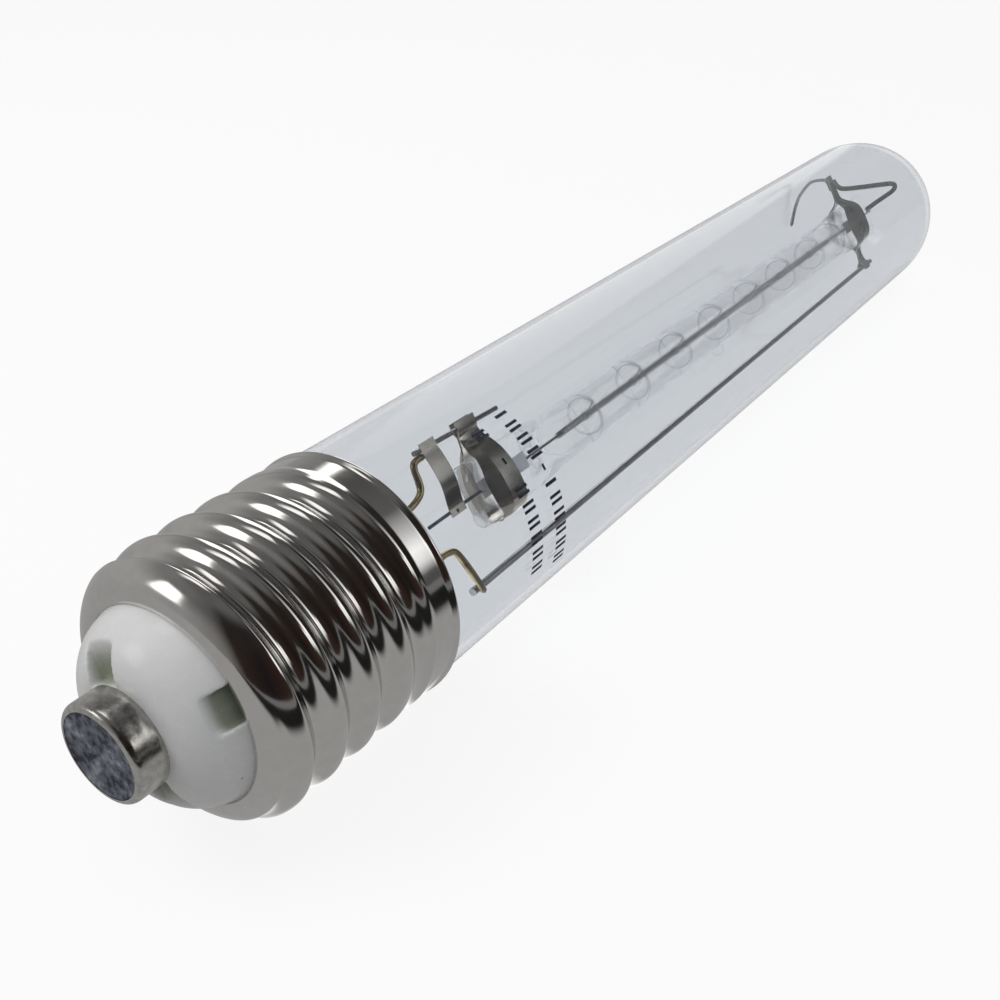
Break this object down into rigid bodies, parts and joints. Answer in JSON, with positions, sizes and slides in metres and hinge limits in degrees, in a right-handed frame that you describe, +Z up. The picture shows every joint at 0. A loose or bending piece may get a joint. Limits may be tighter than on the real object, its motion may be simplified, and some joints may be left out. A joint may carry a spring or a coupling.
{
  "type": "halogen lamp",
  "caption": "Tubular halogen lamp: mogul screw base with porcelain insulator and centre contact, clear glass outer bulb, and a long quartz capsule on a wire mount inside.",
  "frame": {"origin": "centre of the contact face at the bottom of the screw base", "axes": "+X along the lamp from the contact face to the dome; +Z up as the lamp lies in the picture; the plane of the two mount rods is rolled 59 degrees about X from +Y towards +Z"},
  "size_m": [0.268, 0.0396, 0.0398],
  "materials": {
    "nickel": "bright nickel plate over brass",
    "solder": "dull, dented solder",
    "porcelain": "white glazed porcelain",
    "cement": "tan basing cement",
    "bulb_glass": "clear hard glass",
    "quartz": "clear fused quartz",
    "lead_wire": "heat-tinted nickel wire",
    "mount_steel": "dark drawn wire",
    "mount_strip": "heat-tinted strip",
    "molybdenum": "grey molybdenum",
    "tungsten": "dark drawn tungsten"
  },
  "bodies": {
    "root": {"contact_eyelet": "nickel", "contact_solder": "solder", "insulator": "porcelain", "screw_shell": "nickel", "basing_cement": "cement", "outer_bulb": "bulb_glass", "glass_stem": "bulb_glass", "exhaust_tube": "bulb_glass", "short_lead_wire": "lead_wire", "long_lead_wire": "lead_wire", "contact_lead": "lead_wire", "shell_lead": "lead_wire", "shell_solder": "solder", "short_rod": "mount_steel", "long_rod": "mount_steel", "near_ribbon": "mount_strip", "near_clamp_front": "mount_strip", "near_clamp_back": "mount_strip", "far_clamp_front": "mount_strip", "far_clamp_back": "mount_strip", "far_link_wire": "mount_steel", "bumper_spring": "mount_steel", "quartz_capsule": "quartz", "near_foil": "molybdenum", "far_foil": "molybdenum", "near_outer_lead": "molybdenum", "far_outer_lead": "molybdenum", "near_inner_lead": "tungsten", "far_inner_lead": "tungsten", "filament": "tungsten", "filament_support_1": "tungsten", "filament_support_2": "tungsten", "filament_support_3": "tungsten", "filament_support_4": "tungsten", "filament_support_5": "tungsten", "filament_support_6": "tungsten", "filament_support_7": "tungsten"}
  },
  "joints": []
}
